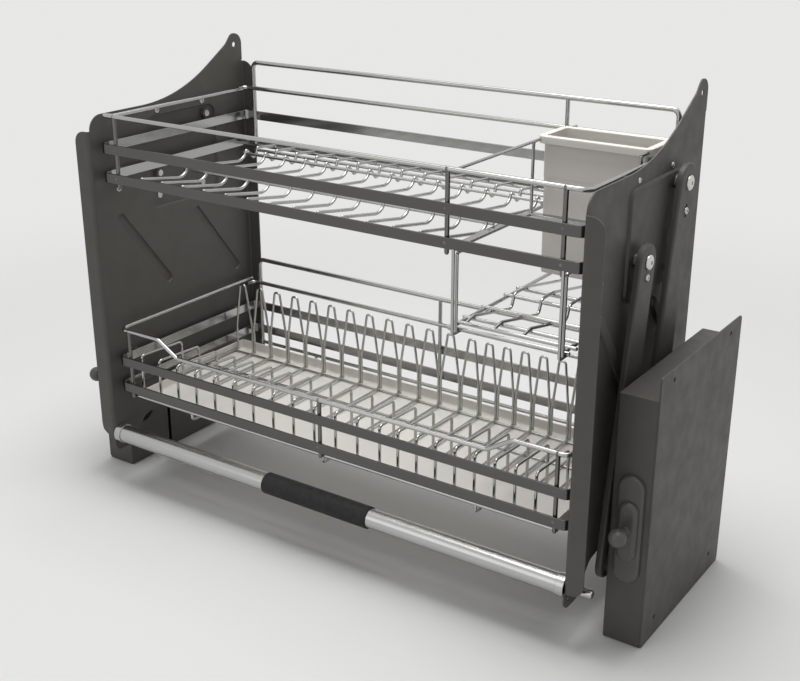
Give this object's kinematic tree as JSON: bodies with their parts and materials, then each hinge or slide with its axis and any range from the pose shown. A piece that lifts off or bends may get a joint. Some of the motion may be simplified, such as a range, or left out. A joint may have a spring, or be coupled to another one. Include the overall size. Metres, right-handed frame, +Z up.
{
  "type": "cabinet dish rack",
  "caption": "Pull-down two-tier wire dish rack between steel side panels, on parallel swing arms in two cabinet side boxes, with handle, tray and cutlery box.",
  "frame": {"origin": "middle of the footprint, at the boxes' underside", "axes": "+X to the right along the cabinet's width, +Y to the back, +Z up; the front with the handle faces -Y"},
  "size_m": [0.764, 0.2746, 0.537],
  "materials": {
    "grey_paint": "satin dark grey metallic paint on the boxes, side panels and arms",
    "wire": "polished wire and band",
    "steel": "bright bolts, shafts and screws",
    "tube": "satin handle tube",
    "grip": "soft dark grey sleeve",
    "plastic_grey": "moulding in the grey of the paint",
    "plastic_dark": "dark moulding",
    "plastic_white": "white moulding",
    "spring_steel": "dark spring wire"
  },
  "bodies": {
    "side_boxes": {"mounting_plate_left": "grey_paint", "mounting_plate_right": "grey_paint", "box_cover_left": "grey_paint", "box_cover_right": "grey_paint", "cover_screws": "steel", "lower_pivot_bushes": "plastic_dark", "bearing_blocks": "plastic_grey", "damper_housings": "plastic_dark", "adjuster_bezel_left": "plastic_grey", "adjuster_bezel_right": "plastic_grey"},
    "front_arms": {"front_arm_left": "grey_paint", "front_arm_right": "grey_paint", "front_pivot_shafts": "steel", "front_arm_screws": "steel"},
    "rear_arms": {"rear_arm_left": "grey_paint", "rear_arm_right": "grey_paint", "rear_pivot_shafts": "steel", "rear_arm_screws": "steel", "spring_cranks": "steel", "damper_rotors": "plastic_dark"},
    "adjuster_left": {"adjuster_slider_left": "plastic_grey", "adjuster_knob_left": "plastic_grey", "lift_spring_left": "spring_steel"},
    "adjuster_right": {"adjuster_slider_right": "plastic_grey", "adjuster_knob_right": "plastic_grey", "lift_spring_right": "spring_steel"},
    "rack": {"side_panel_left": "grey_paint", "side_panel_right": "grey_paint", "panel_screws": "steel", "upper_pivot_bolts": "steel", "upper_pivot_spacers": "steel", "upper_pivot_nuts": "steel", "handle_tube": "tube", "handle_grip": "grip", "handle_ferrules": "tube", "handle_plugs": "plastic_grey", "handle_pins": "steel", "upper_basket_front": "wire", "upper_basket_rear": "wire", "upper_basket_side_left": "wire", "upper_basket_side_right": "wire", "upper_basket_floor": "wire", "upper_basket_divider": "wire", "small_rack_grid": "wire", "small_rack_hangers": "wire", "lower_basket_front": "wire", "lower_basket_rear": "wire", "lower_basket_side_left": "wire", "lower_basket_side_right": "wire", "tray_supports": "wire"},
    "cutlery_box": {"cutlery_box": "plastic_white"},
    "drip_tray": {"drip_tray": "plastic_white"},
    "plate_holder": {"plate_hoops": "wire", "plate_pegs": "wire", "plate_floor_grid": "wire"}
  },
  "joints": [
    {"name": "front_arms_swing", "type": "hinge", "parent": "side_boxes", "child": "front_arms", "pos_m": [0, -0.0717, 0.07801], "axis": [1, 0, 0], "range_deg": [0, 110], "stiffness_Nm_per_rad": 8},
    {"name": "rear_arms_swing", "type": "hinge", "parent": "side_boxes", "child": "rear_arms", "pos_m": [0, 0.0163, 0.13801], "axis": [1, 0, 0], "range_deg": [0, 110], "deforming": ["lift_spring_left", "lift_spring_right"]},
    {"name": "rack_swing", "type": "hinge", "parent": "front_arms", "child": "rack", "pos_m": [0, -0.0257, 0.384], "axis": [1, 0, 0], "range_deg": [-110, 0]},
    {"name": "left_adjuster_slide", "type": "slide", "parent": "side_boxes", "child": "adjuster_left", "axis": [0, 0, 1], "range_m": [-0.02, 0.02]},
    {"name": "right_adjuster_slide", "type": "slide", "parent": "side_boxes", "child": "adjuster_right", "axis": [0, 0, 1], "range_m": [-0.02, 0.02]},
    {"name": "cutlery_box_lift", "type": "slide", "parent": "rack", "child": "cutlery_box", "axis": [0, 0, 1], "range_m": [0, 0.15]},
    {"name": "drip_tray_lift", "type": "slide", "parent": "rack", "child": "drip_tray", "axis": [0, 0, 1], "range_m": [0, 0.04]},
    {"name": "plate_holder_lift", "type": "slide", "parent": "drip_tray", "child": "plate_holder", "axis": [0, 0, 1], "range_m": [0, 0.035]}
  ],
  "couplings": [
    {"joint": "rear_arms_swing", "follows": "front_arms_swing", "ratio": 1},
    {"joint": "rack_swing", "follows": "front_arms_swing", "ratio": -1}
  ]
}
